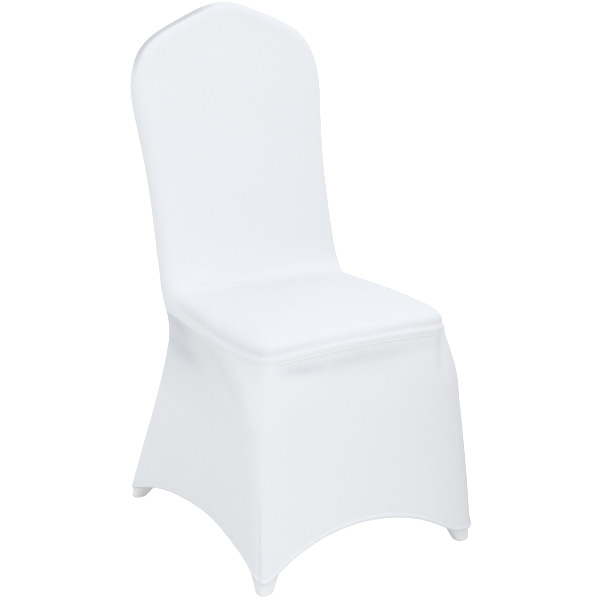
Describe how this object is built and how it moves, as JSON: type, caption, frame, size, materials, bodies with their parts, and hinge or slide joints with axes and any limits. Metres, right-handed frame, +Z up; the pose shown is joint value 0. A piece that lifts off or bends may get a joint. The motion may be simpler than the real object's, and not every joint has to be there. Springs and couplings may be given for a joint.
{
  "type": "stretch chair cover",
  "caption": "Fitted stretch cover for a crown back banquet chair, hollow, with a smooth back and seat, a drawn-in skirt with arched hems and elastic foot pockets.",
  "frame": {"origin": "middle of the cover's footprint, at the height of the soles of the foot pockets", "axes": "+Z up, -Y towards the front of the seat, +X towards the right as seen from the front"},
  "size_m": [0.4424, 0.5232, 0.9299],
  "materials": {
    "seat_and_back_panel": "smooth white stretch knit with a soft sheen",
    "rear_panel": "smooth white stretch knit with a soft sheen",
    "side_panel_left": "smooth white stretch knit with a soft sheen",
    "side_panel_right": "smooth white stretch knit with a soft sheen",
    "front_skirt_panel": "smooth white stretch knit with a soft sheen",
    "foot_pocket_front_left": "matt elastic knit",
    "foot_pocket_front_right": "matt elastic knit",
    "foot_pocket_rear_left": "matt elastic knit",
    "foot_pocket_rear_right": "matt elastic knit"
  },
  "bodies": {
    "root": {"seat_and_back_panel": "seat_and_back_panel", "rear_panel": "rear_panel", "side_panel_left": "side_panel_left", "side_panel_right": "side_panel_right", "front_skirt_panel": "front_skirt_panel", "foot_pocket_front_left": "foot_pocket_front_left", "foot_pocket_front_right": "foot_pocket_front_right", "foot_pocket_rear_left": "foot_pocket_rear_left", "foot_pocket_rear_right": "foot_pocket_rear_right"}
  },
  "joints": []
}
